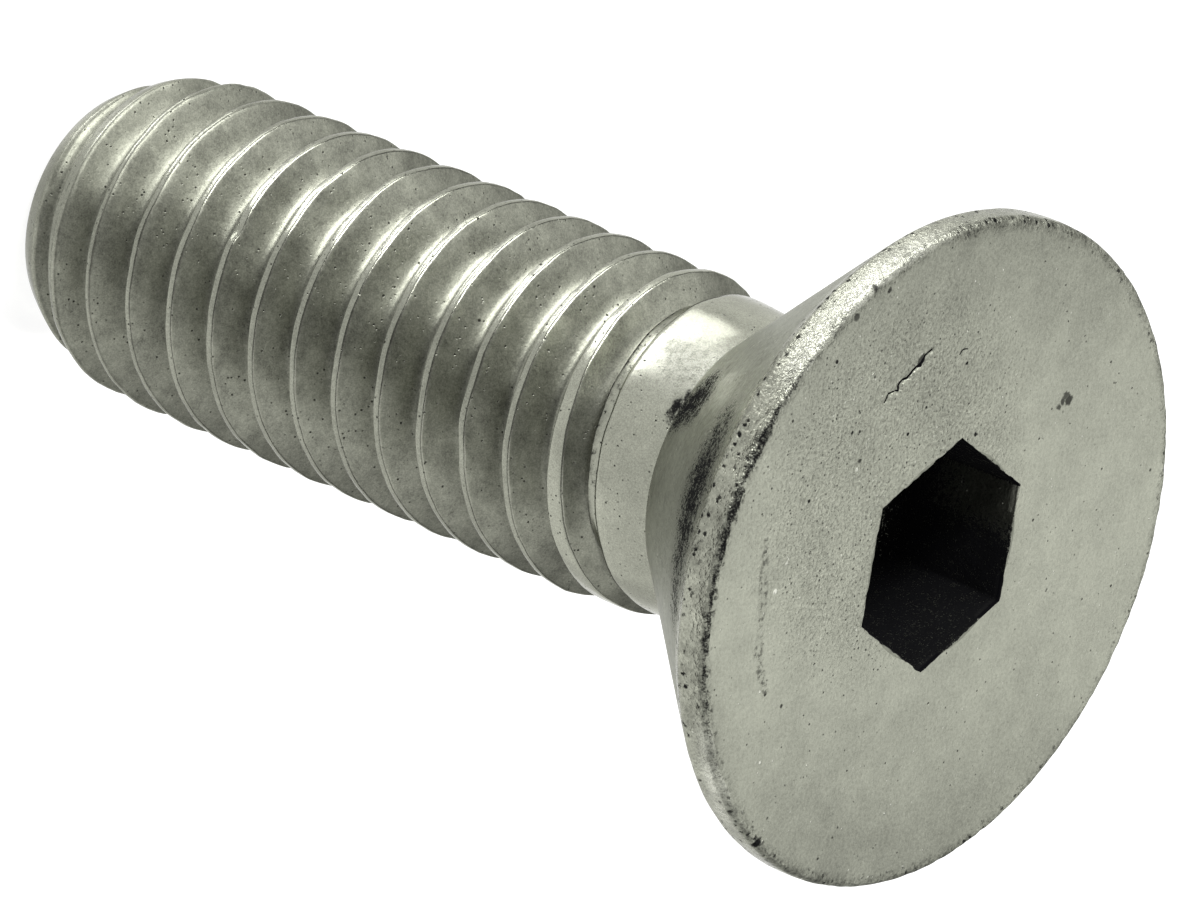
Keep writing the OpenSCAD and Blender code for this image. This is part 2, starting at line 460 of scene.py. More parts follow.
# The rolled strip beside the last groove, and the seam that parts it from the collar
strip = {
    "width": 0.34,
    "rise": 0.02,             # above the groove's upper edge
    "drop": 0.05,             # how far it lies below the collar
    "slope": 0.1,
    "edgeSlope": 5.0,         # how steeply its lower edge falls away
    "start": (0.02, 0.2),     # turns past the last one over which it begins and ends
    "end": (0.36, 0.5),
    "seamDrop": 0.015,
    "seamWidth": 0.022,
    "seamShare": 0.6,         # its depth against the fold's
    "lowSeamWidth": 0.03,
    "sootAndShade": (0.75, 0.45, 0.3),  # painted shade of the seam, of the lower edge and of the strip itself
    "plainEdge": 0.35,        # width over which the collar above it grows bright
}
crestDents = [
    # angle, height, width along, width up, depth
    (-121.5, 8.45, 0.3, 0.16, 0.13), (-118.0, 8.72, 0.22, 0.1, 0.07), (35.0, 12.2, 0.35, 0.2, 0.09),
    (150.0, 5.8, 0.3, 0.2, 0.08),
]


def lineDistance(x, y, bends):
    # Distance past the edge of a broken line of varying half width: below zero inside it
    best = np.full(x.shape, 1e3)
    for (ax, ay, aw), (bx, by, bw) in zip(bends, bends[1:]):
        dx, dy = bx - ax, by - ay
        share = unit(((x - ax) * dx + (y - ay) * dy) / (dx * dx + dy * dy))
        distance = np.hypot(x - ax - share * dx, y - ay - share * dy)
        best = np.minimum(best, distance - mixed(aw, bw, share))
    return best


def seamStrength(degrees):
    # Strength of the rim's seam at an angle, straight between the given ones
    return np.interp(degrees, rimSeam["angle"], rimSeam["strength"])


def raggedness(degrees):
    # How ragged the edge of the face is at an angle: whole where the seam is strongest
    return 0.9 * seamStrength(degrees) / max(rimSeam["strength"])


def foldOnCrest(crest, degrees, z):
    # How strong the fold is: a bell across it, on the end's side of the crest's middle, times a bell
    # round the crest that moves on and grows longer with the turns
    last = eased(crest, lastTurn - 1.0, lastTurn - 0.6)
    middle = 0.5 * (grooveHeight(crest - 1) + grooveHeight(crest))
    middle = middle - fold["drop"] - fold["lastDrop"] * last
    late = eased(crest, *fold["lateTurns"])
    away = turned(degrees - fold["angle"] - fold["lateShift"] * late)
    stretch = hill(away, fold["span"] + fold["lateSpan"] * late)
    stretch = stretch + fold["farShare"] * hill(turned(degrees - fold["farAngle"]), fold["farSpan"])
    grown = eased(crest, *fold["growTurns"]) * (1 - fold["runoutLoss"] * crestFade(crest)) * stretch
    nearTip = fold["tipShare"] * hill(crest - fold["tipTurn"], fold["tipSpan"])
    return np.maximum(grown, nearTip) * hill(z - middle, fold["width"])


def stripBesideGroove(crest, z, radius):
    # The larger of the surface and the strip, which follows the collar and falls away past its
    # width. With it come the seam above it, its painted shade and the bright collar's share.
    upperEdge = thread["rootFlat"] / 2 + flankLength(crest, crest - 1)
    meets = grooveHeight(crest - 1) + upperEdge + strip["rise"]
    begun = eased(crest, lastTurn + strip["start"][0], lastTurn + strip["start"][1])
    share = begun * eased(crest, lastTurn + strip["end"][1], lastTurn + strip["end"][0])
    below = meets - z
    fall = strip["slope"] * below + strip["edgeSlope"] * np.maximum(0, below - strip["width"])
    top = collarRadiusAt(z) - strip["drop"] - fall
    onStrip = share * (below > 0) * (top > radius)
    seam = hill(z - meets + strip["seamDrop"], strip["seamWidth"])
    seam = begun * (1 - grooveFade(crest - 1)) * seam
    lowSeam = share * hill(below - strip["width"], strip["lowSeamWidth"])
    seamShade, lowEdgeShade, stripShade = strip["sootAndShade"]
    sootAndShade = np.maximum(seamShade * seam, lowEdgeShade * lowSeam + stripShade * onStrip)
    bright = eased(z, meets - strip["plainEdge"], meets) * begun
    return radius + onStrip * (top - radius), seam, sootAndShade, bright


def shankSurface():
    # The radius at each row's height, less the fold, small dents and a slow unevenness. With the
    # points come the painted shade of the seams, the polish and the painted highlight of the crests.
    z = shankRows()
    turn = np.arange(shankColumns + 1)[None, :] / shankColumns
    angle = turnAngles(shankColumns)[None, :]
    degrees = np.degrees(angle)
    crest = turn + np.round(z / pitch + startTurn - turn)
    radius, seam, stripShade, bright = stripBesideGroove(crest, z, shankRadius(turn, z))
    folded = foldOnCrest(crest, degrees, z)
    radius = radius - fold["depth"] * (folded + strip["seamShare"] * seam)
    sootAndShade = np.maximum(fold["sootAndShade"] * folded, stripShade)
    sootAndShade = np.maximum(sootAndShade, placedMarks(degrees, radius, z, collarStainsAndShade))
    crestTop = envelope(crest, z)
    start, whole = thread["polishDepth"]
    onCrest = eased(radius, crestTop - start, crestTop - whole)
    polish = np.maximum(onCrest, bright)
    # Painted highlight along one stretch of the crests
    crestHighlight = wear["crestHighlight"] * onCrest * hill(turned(degrees - wear["crestHighlightAngle"]), wear["crestHighlightSpan"])
    # Nothing moves the two end rows, where the neighbouring grids begin
    calmLow, calmHigh = wear["calmEnds"]
    inside = eased(z, point["edgeHeight"], point["edgeHeight"] + calmLow)
    inside = inside * eased(z, waistHeight, waistHeight - calmHigh)
    place = aroundAxis(radius, angle, z)
    dent = np.zeros(z.shape)
    for around, up, wide, tall, depth in crestDents:
        along = np.radians(turned(degrees - around)) * crestRadius
        dent = dent + depth * hill(along, wide) * hill(z - up, tall)
    nearCrest = eased(radius, rootRadius + wear["calmGroove"], crestRadius)
    radius = radius - inside * (dent * nearCrest + wear["rolled"] * waveNoise(place, "rolled"))
    radius = radius - inside * nearCrest * wear["crestRough"] * waveNoise(place, "crest")
    wander = inside * wear["crestWander"] * waveNoise(place, "wander")
    points = aroundAxis(radius, angle, z + wander)
    # The last column is the first one a turn higher, and past the top turn the waist's own point
    points[:-rowsPerTurn, -1] = points[rowsPerTurn:, 0]
    points[-rowsPerTurn:, -1] = points[-1, 0]
    return points, sootAndShade, polish, crestHighlight


def pointSurface():
    # The flat end face and the bevel round it, up to the first row of the thread
    edge = np.linspace(0, 1, point["edgeRows"])
    end = np.linspace(0, point["endDiameter"] / 2, point["endRows"])[:-1]
    bevel = mixed(point["endDiameter"] / 2, point["diameter"] / 2, edge)
    height = np.concatenate([0 * end, point["edgeHeight"] * edge])
    return ringPoints(np.concatenate([end, bevel]), height, shankColumns)


def headProfile():
    # Radius and height of the cone, the rim's two rounded edges and the rim between them
    slope = head["coneAngle"] / 2
    edge = head["coneEdge"]
    edgeHeight = rimBase + edge * math.tan(math.radians(slope / 2))
    lowR, lowZ = arcProfile(headRadius - edge, edgeHeight, edge, -slope, 0, head["arcRows"])
    face = head["faceEdge"]
    topR, topZ = arcProfile(headRadius - face, length - face, face, 0, 90, head["arcRows"] + 2)
    share = np.linspace(0.02, 1, head["coneRows"])[:-1]
    rim = np.linspace(0, 1, head["rimRows"])[1:-1]
    radius = [mixed(waistRadius, lowR[0], share), lowR, headRadius + 0 * rim, topR]
    height = [mixed(waistHeight, lowZ[0], share), lowZ, mixed(lowZ[-1], topZ[0], rim), topZ]
    return np.concatenate(radius), np.concatenate(height)


def seamShade(points):
    # Painted dark line of shade and dark reflection along the face's outer edge: full between its two
    # edges, with softer painted shade down the rim, times the strength given round the rim
    x, y, z = np.moveaxis(points, -1, 0)
    radius = np.hypot(x, y)
    strength = seamStrength(np.degrees(np.arctan2(y, x)))
    outer = headRadius - head["faceEdge"]
    down = radius - outer + length - z + rimSeam["wander"] * waveNoise(points, "seam")
    soft = rimSeam["soft"]
    start, end = rimSeam["start"], rimSeam["end"]
    whole = eased(down, start - soft, start) * eased(down, end + soft, end)
    below = rimSeam["shadeBelow"] * np.exp(-np.maximum(0, down - end) / rimSeam["fade"]) * (down > end)
    return strength * np.maximum(whole, below) * (radius > outer - rimSeam["reach"])


def placedMarks(degrees, radius, z, marks):
    # Largest of the soft marks at a place: the product of one bell round the head and one up it
    best = np.zeros(z.shape)
    for around, up, wide, tall, strong in marks:
        along = np.radians(turned(degrees - around)) * radius
        best = np.maximum(best, strong * hill(along, wide) * hill(z - up, tall))
    return best


def edgeNicks(points, degrees):
    # Nicks along the face's outer edge: the upper part of a noise, times the raggedness there
    return unit(waveNoise(points, "faceEdge") * 0.7 + 0.35) * raggedness(degrees)


def headSurface():
    # Cone and rim, turned about the axis, less the nicks, the rim's small dents and the slow
    # unevenness, with the soot, the painted shade and the painted highlights
    points = ringPoints(*headProfile(), headColumns)
    x, y, z = np.moveaxis(points, -1, 0)
    radius = np.hypot(x, y)
    degrees = np.degrees(np.arctan2(y, x))
    nicks = edgeNicks(points, degrees)
    coarse = waveNoise(points, "forge")
    start, whole = wear["nickBand"]
    nearFaceEdge = eased(radius, headRadius - start, headRadius - whole)
    nearFaceEdge = nearFaceEdge * hill(z - length + 0.02, wear["nickHeight"])
    onRim = eased(radius, headRadius - wear["rimBand"], headRadius)
    rough = unit(waveNoise(points, "rim") * 0.5 + 0.4) * raggedness(degrees)
    cut = wear["rimNick"] * nearFaceEdge * nicks
    cut = cut + onRim * wear["rimDent"] * (unit(0.6 + 0.5 * coarse) + 3 * rough)
    cut = cut + wear["forge"] * eased(z, waistHeight, waistHeight + 0.8) * unit(0.5 + 0.5 * coarse)
    # The upper part of the rim leans in a little toward the face
    start, whole = wear["leanBand"]
    lean = wear["rimLean"] * eased(z, length - start, length - whole) * onRim * raggedness(degrees)
    z = z - wear["nickDrop"] * wear["rimNick"] * nearFaceEdge * nicks
    onCone = eased(z, waistHeight, waistHeight + 0.04) * eased(z, rimBase + 0.05, rimBase - 0.3)
    sootAndShade = np.maximum(seamShade(points), onCone * placedMarks(degrees, radius, z, coneStainsAndShade))
    paintedHighlight = placedMarks(degrees, radius, z, highlightPatches)
    left = (radius - cut - lean) / radius
    return np.stack([x * left, y * left, z], -1), sootAndShade, paintedHighlight


# Rows of the face: shares of the way to the rim where a stretch begins and ends, and its steps
faceStretches = [(0, 0.03, 4), (0.03, 0.435, 15), (0.435, 0.56, 24), (0.56, 0.93, 15), (0.93, 1, 5)]


def faceSurface():
    # Flat face from the rim to the socket: each row blends the circle into the hexagon, and sinks by
    # the cracks, the dents, the unevenness and the edge's nicks
    outer = headRadius - head["faceEdge"]
    rows = [np.linspace(start, end, steps, endpoint=False) for start, end, steps in faceStretches]
    shares = np.concatenate(rows + [[1.0]])[::-1][:, None]
    angle = turnAngles(headColumns)[None, :]
    inner = socketRadius(angle) + mouthWearAt(angle)
    radius = mixed(inner, outer, shares)
    points = aroundAxis(radius, angle, length)
    x, y, z = np.moveaxis(points, -1, 0)
    drop = wear["crack"] * unit(1 - lineDistance(x, y, crack) / wear["crackSide"])
    drop = drop + wear["hairCrack"] * unit(1 - lineDistance(x, y, hairCrack) / wear["hairSide"])
    for cx, cy, wide, depth in faceDents:
        drop = drop + depth * hill(np.hypot(x - cx, y - cy), wide)
    slow = unit(0.5 + 0.5 * waveNoise(points, "faceSlow")) * wear["forge"]
    quick = unit(0.45 + 0.5 * waveNoise(points, "faceQuick")) * wear["quick"]
    inside = eased(radius, 3.0, 3.6) * eased(radius, outer, outer - 0.5)
    nick = wear["nickDrop"] * wear["rimNick"] * edgeNicks(points, np.degrees(np.arctan2(y, x)))
    drop = drop + (slow + quick) * inside + nick * hill(radius - outer, wear["nickWidth"])
    return np.stack([x, y, z - drop], -1), seamShade(points)


def socketSurface():
    # Worn mouth, hexagon walls, the ledge at their foot and the drilled cone down to the axis
    angle = turnAngles(headColumns)[None, :]
    hexagon = socketRadius(angle)
    wearDepth = mouthWearAt(angle)
    mouth = np.radians([30, 60, 90])[:, None]
    walls = np.linspace(0, 1, socket["wallRows"])[1:, None]
    drill = socket["acrossFlats"] / 2 * socket["drillShare"]
    drillDepth = drill / math.tan(math.radians(socket["drillAngle"] / 2))
    foot = length - socket["depth"]
    cone = np.linspace(0, 1, socket["floorRows"])[:, None]
    radius = np.concatenate([
        hexagon + wearDepth * (1 - np.sin(mouth)),
        hexagon + 0 * walls,
        drill * (1 - cone) + 0 * angle,
    ])
    height = np.concatenate([
        length - wearDepth * (1 - np.cos(mouth)),
        mixed(length - wearDepth, foot, walls),
        foot - drillDepth * cone + 0 * angle,
    ])
    # Painted shade darkens the socket, less on one wall toward its corner and its mouth, where it is
    # lit
    degrees = np.degrees(angle)
    start, whole, end = socket["litWallAngles"]
    low, high = socket["litWallDepth"]
    litWall = eased(height, length - low, length - high)
    litWall = litWall * eased(degrees, start, whole) * (degrees < end)
    sootAndShade = 1 - socket["litWallShare"] * litWall
    return aroundAxis(radius, angle, height), sootAndShade


# One closed mesh out of the five grids

def gridFaces(rows, columns, start):
    # Quads between neighbouring rows and columns, facing outward where rows climb along the axis
    low = start + np.arange(rows - 1)[:, None] * (columns + 1) + np.arange(columns)[None, :]
    return np.stack([low, low + 1, low + columns + 2, low + columns + 1], -1).reshape(-1, 4)


def fanFaces(lowStart, highStart):
    # Three triangles for each step of a ring, up to a ring with twice the columns
    c = np.arange(shankColumns)
    low, high = lowStart + c, highStart + 2 * c
    return np.concatenate([
        np.stack([low, low + 1, high + 1], -1),
        np.stack([low, high + 1, high], -1),
        np.stack([low + 1, high + 2, high + 1], -1),
    ])


def buildScrew():
    # The grids run from the end face up the shank and the cone, over the rim and down the socket,
    # with the soot, painted shade, polish and painted highlights that the steel reads from their
    # points
    shank, shankSootAndShade, shankPolish, shankHighlight = shankSurface()
    cone, coneSootAndShade, coneHighlight = headSurface()
    face, faceSeamShade = faceSurface()
    inside, socketShade = socketSurface()
    tip = pointSurface()
    # Grids that meet share their row of points
    tip[-1] = shank[0]
    face[0] = cone[-1]
    grids = [tip, shank, cone, face, inside]
    painted = {
        "sootAndShade": [0, shankSootAndShade, coneSootAndShade, faceSeamShade, socketShade],
        "polish": [0, shankPolish, 1, 1, 1],
        "paintedHighlight": [0, shankHighlight, coneHighlight, 0, 0],
    }
    starts = np.cumsum([0] + [g.shape[0] * g.shape[1] for g in grids])
    quads = [gridFaces(g.shape[0], g.shape[1] - 1, s) for g, s in zip(grids, starts)]
    # The face's last row meets the socket's first one
    faceEnd = starts[3] + (face.shape[0] - 1) * (headColumns + 1) + np.arange(headColumns)
    mouth = starts[4] + np.arange(headColumns)
    quads.append(np.stack([faceEnd, faceEnd + 1, mouth + 1, mouth], -1))
    shankTop = starts[1] + (shank.shape[0] - 1) * (shankColumns + 1)
    fans = fanFaces(shankTop, starts[2])
    vertices = np.concatenate([g.reshape(-1, 3) for g in grids]) * mm
    faces = np.concatenate(quads).tolist() + fans.tolist()
    mesh = bpy.data.meshes.new("forgedScrew")
    mesh.from_pydata(vertices.tolist(), [], faces)
    for name, values in painted.items():
        layer = mesh.attributes.new(name, "FLOAT", "POINT")
        values = [np.broadcast_to(v, g.shape[:2]).reshape(-1) for v, g in zip(values, grids)]
        layer.data.foreach_set("value", unit(np.concatenate(values)).astype(np.float32))
    work = bmesh.new()
    work.from_mesh(mesh)
    bmesh.ops.remove_doubles(work, verts=work.verts, dist=2e-7)
    loose = sum(1 for e in work.edges if not e.is_manifold)
    print("screw mesh:", len(work.verts), "points,", len(work.faces), "faces,", loose, "loose edges")
    work.to_mesh(mesh)
    work.free()
    mesh.shade_smooth()
    # The crease between the collar and the cone stays sharp
    places = np.empty(len(mesh.vertices) * 3)
    mesh.vertices.foreach_get("co", places)
    ends = np.empty(len(mesh.edges) * 2, int)
    mesh.edges.foreach_get("vertices", ends)
    atWaist = np.abs(places[2::3] / mm - waistHeight) < 1e-3
    crease = atWaist[ends[0::2]] & atWaist[ends[1::2]]
    mesh.attributes.new("sharp_edge", "BOOLEAN", "EDGE").data.foreach_set("value", crease)
    return placed("forgedScrew", mesh)


# Shader maths: a Link is one socket of a node tree, and sums of Links add Math nodes

class Link:
    def __init__(self, tree, socket):
        self.tree = tree
        self.socket = socket

    def add(self, kind, settings=None, inputs=None, out=0):
        # A node of this type: its settings first, then the values or links of its sockets
        node = self.tree.nodes.new(kind)
        for name, value in (settings or {}).items():
            setattr(node, name, value)
        for key, value in (inputs or {}).items():
            if isinstance(value, Link):
                self.tree.links.new(value.socket, node.inputs[key])
            else:
                node.inputs[key].default_value = value
        return Link(self.tree, node.outputs[out])

    def maths(self, operation, *values):
        # A Math node on these values or links
        return self.add("ShaderNodeMath", {"operation": operation}, dict(enumerate(values)))

    def __add__(self, other):
        return self.maths("ADD", self, other)

    __radd__ = __add__

    def __sub__(self, other):
        return self.maths("SUBTRACT", self, other)

    def __rsub__(self, other):
        return self.maths("SUBTRACT", other, self)

    def __mul__(self, other):
        return self.maths("MULTIPLY", self, other)

    __rmul__ = __mul__

    def __pow__(self, other):
        return self.maths("POWER", self, other)

    def __gt__(self, other):
        return self.maths("GREATER_THAN", self, other)

    def larger(self, other):
        return self.maths("MAXIMUM", self, other)

    def smaller(self, other):
        return self.maths("MINIMUM", self, other)

    def eased(self, start, end):
        # 0 before start and 1 after end, smooth between them
        ranges = {0: self, 1: start, 2: end, 3: 0.0, 4: 1.0}
        return self.add("ShaderNodeMapRange", {"interpolation_type": "SMOOTHSTEP"}, ranges)

    def scaled(self, factor):
        # A vector times a number
        return self.add("ShaderNodeVectorMath", {"operation": "SCALE"}, {0: self, 3: factor})

    def noise(self, perMm, detail, rough):
        # Soft noise on a position in millimetres
        return self.add("ShaderNodeTexNoise", {}, {0: self, 2: perMm, 3: detail, 4: rough})

    def cells(self, perMm):
        # Distance to the nearest of scattered points, in cell widths
        return self.add("ShaderNodeTexVoronoi", {}, {0: self, 2: perMm})

    def blend(self, low, high):
        # Two colours mixed by this share
        return self.add("ShaderNodeMix", {"data_type": "RGBA"}, {0: self, 6: low, 7: high}, 2)


steel = {
    "colour": (0.296, 0.303, 0.25, 1.0),
    # the face's lighter copy of the colour is painted light on the head's top
    "face": (0.377, 0.387, 0.321, 1.0),
    # the cone's darker copy is painted shade under the head, partly oxide
    "cone": (0.236, 0.244, 0.2, 1.0),
    # colour of the painted glints and highlights
    "paintedGlint": (0.74, 0.75, 0.66, 1.0),
    "edge": (0.72, 0.72, 0.7, 1.0),
    "sootAndShade": (0.006, 0.006, 0.0072, 1.0),
    "sootAndShadeCover": 0.9,     # how much of the metal's gloss the soot and painted shade hide
    "sootAndShadeRoughness": 0.8,
    "roughness": 0.18,
    "flankRoughness": 0.41,
    "tipRoughness": 0.08, # the first turns are rougher by this much
    "tipEnd": (2.0, 10.0),
    "headRoughness": 0.42,
    "crestShade": 0.2,     # painted shade: the crests are darker below these heights
    "crestShadeEnd": (19.4, 20.8),
    "faceFall": 0.0046,   # the face darkens with the square of x
    "whiten": 0.75,       # how bright a painted highlight is before the noises break it up
}
# Sandy part of the face, round the crack and the socket's upper side
sandy = {"x": -2.4, "y": -2.8, "inner": 2.8, "outer": 6.6}
# Noises of the steel: waves to a millimetre, detail and roughness
steelNoises = {
    "fine": (9.0, 3.0, 0.65),
    "grit": (22.0, 2.0, 0.6),
    "sand": (9.0, 2.0, 0.6),
    "grain": (13.0, 1.0, 0.5),
    "crumb": (5.0, 3.0, 0.65),
    "patch": (1.7, 3.0, 0.6),
    "broad": (0.55, 2.0, 0.5),
    "largePitPatch": (0.9, 1.0, 0.5),
    "rimPitPatch": (1.6, 2.0, 0.5),
    "glintPatch": (1.1, 2.0, 0.55),
}
# Marks at scattered points: cells to a millimetre, distances over which a mark ends, range of noise
# over which it is kept, height in millimetres and how dark it is
steelMarks = {
    "pit": (5.2, (0.06, 0.22), (0.8, 0.92), -0.012, 0.62),
    "largePit": (1.5, (0.02, 0.07), (0.5, 0.56), -0.03, 0.6),
    "rimPit": (4.2, (0.1, 0.34), (0.58, 0.66), -0.03, 0.85),
    # painted glints: bright specks where light glints off tiny pits
    "paintedGlint": (4.2, (0.05, 0.17), (0.54, 0.64), 0.012, 0.0),
}
# Weight of each noise on each part: in the relief, in millimetres, in the tone of the colour, and in
# breaking up the soot and painted shade, the painted highlights and the roughness
reliefWeights = {
    "sand": {"all": 0.003, "face": 0.012, "sandy": 0.045, "rim": 0.045, "cone": 0.012},
    "grit": {"all": 0.002, "sandy": 0.004, "cone": 0.003},
    "patch": {"cone": 0.05},
}
toneWeights = {
    "fine": {"all": 0.3, "flank": 0.35},
    "grit": {"all": 0.5, "shank": 0.45},
    "sand": {"face": 0.25, "sandy": 0.5, "rim": 0.7},
    "patch": {"all": 0.3, "flank": 0.6, "rim": 0.9},
    "broad": {"all": 0.4},
    "crumb": {"cone": 1.1},
}
paintWeights = {"all": 1.7, "cone": -0.05}
sootAndShadeWeights = {"crumb": {"all": 1.7, "cone": 1.6}, "grit": {"all": 1.4, "cone": 3.2}}
highlightWeights = {"crumb": {"all": 2.6}, "grit": {"all": 1.8}}
roughWeights = {"broad": {"all": 0.1}, "fine": {"all": 0.08}}
# Plain tone of each part, the rim and the flanks darker as painted shade, and its dark and light
# grains
partTone = {"all": 1.0, "rim": -0.1, "sandy": 0.04, "flank": -0.17}
darkGrains = {"sandy": 0.38, "rim": 0.16, "flank": 0.12}
lightGrains = {"sandy": 0.34, "rim": 0.16}


def weighted(shares, weights):
    # Sum of the parts' shares, each times its weight
    return sum(shares[part] * weight for part, weight in weights.items())


def noisy(noise, shares, table, middle=0.5):
    # Sum of the noises, each about its middle and times its weight on each part
    return sum((noise[name] - middle) * weighted(shares, weights) for name, weights in table.items())


def hypotenuse(x, y):
    # Root of x squared plus y squared
    return (x * x + y * y) ** 0.5


def lineShare(x, y, bends, soft):
    # Shader form of lineDistance: 1 inside the line, 0 beyond its soft edge
    best = None
    for (ax, ay, aw), (bx, by, bw) in zip(bends, bends[1:]):
        dx, dy = bx - ax, by - ay
        size = dx * dx + dy * dy
        share = ((x - ax) * (dx / size) + (y - ay) * (dy / size)).larger(0.0).smaller(1.0)
        away = hypotenuse(x - ax - share * dx, y - ay - share * dy)
        distance = away - mixed(aw, bw, share)
        best = distance if best is None else best.smaller(distance)
    return 1 - best.eased(0.0, 1.4 * soft)


def spotShare(x, y, spots, wobble):
    # Largest of the round spots at a place, each as strong as its last number, with uneven edges
    best = None
    for cx, cy, size, strong in spots:
        distance = hypotenuse(x - cx, y - cy) * (1 / size) + wobble
        share = (1 - distance.eased(0.65, 1.45)) * strong
        best = share if best is None else best.larger(share)
    return best


def partShares(x, y, z, radius, polish):
    # Share of each part of the screw at a place, by its height and its radius
    face = z.eased(length - 0.25, length - 0.08) * (radius > 2.9)
    rim = radius.eased(headRadius - 0.5, headRadius - 0.1)
    cone = z.eased(waistHeight - 0.01, waistHeight + 0.02) * (1 - rim) * (1 - face)
    shank = 1 - z.eased(waistHeight - 0.02, waistHeight + 0.01)
    sand = 1 - hypotenuse(x - sandy["x"], y - sandy["y"]).eased(sandy["inner"], sandy["outer"])
    parts = {"face": face, "rim": rim, "cone": cone, "shank": shank, "sandy": face * sand}
    return {"all": 1.0, **parts, "flank": shank * (1 - polish)}


def scattered(place, name, keep, wobble=0.0):
    # Marks at scattered points: 1 near a point, with a wobbling edge, where the noise keeps it
    perMm, edge, kept = steelMarks[name][:3]
    return (1 - (place.cells(perMm) + wobble).eased(*edge)) * keep.eased(*kept)


def scatteredMarks(place, z, radius, part, noise, paintedHighlight):
    # Small pits on the skin, a few large ones, pits along the rim's edges, and painted glints
    patch, crumb, fine = noise["patch"], noise["crumb"], noise["fine"]
    rimEdges = ((z - (rimBase + 0.42)) ** 2.0).eased(0.0, 0.06)
    edgeAway = (radius - (headRadius - 0.16)) ** 2.0 + (z - (length - 0.06)) ** 2.0
    faceEdge = 1 - edgeAway.eased(0.0, 0.075)
    pitKeep = patch * 0.8 + crumb * 0.7 + part["sandy"] * 0.15 + part["shank"] * 0.08
    rimKeep = noise["rimPitPatch"] + rimEdges * 0.16
    glintKeep = noise["glintPatch"] + part["sandy"] * 0.06 + faceEdge * 0.1 + part["cone"] * 0.04
    rimPit = scattered(place, "rimPit", rimKeep, (fine - 0.5) * 0.9)
    onHead = part["face"].larger(part["cone"] * 0.7).larger(part["rim"] * 0.7)
    return {
        "pit": scattered(place, "pit", pitKeep),
        "largePit": scattered(place, "largePit", noise["largePitPatch"], (crumb - 0.5) * 0.08),
        "rimPit": rimPit * part["rim"] * (1 - paintedHighlight * 2.0).larger(0.0),
        "paintedGlint": scattered(place, "paintedGlint", glintKeep) * onHead,
    }


def faceLines(x, y, noise, wobble):
    # The crack with its crumbled side, the hair crack, the faint streak and the dark spots: the
    # largest of them at a place
    markX, markY = x + (noise["fine"] - 0.5) * 0.03, y + (noise["grit"] - 0.5) * 0.03
    lines = lineShare(markX, markY, crack, 0.014)
    lines = lines.larger(lineShare(markX, markY, hairCrack, 0.014) * 0.8)
    lines = lines.larger(lineShare(x, y, crackSide, 0.05) * 0.55)
    faint = noise["crumb"].eased(0.46, 0.66) * 0.4 + 0.03
    lines = lines.larger(lineShare(x, y, streak, 0.1) * faint)
    return lines.larger(spotShare(x, y, darkSpots, wobble))


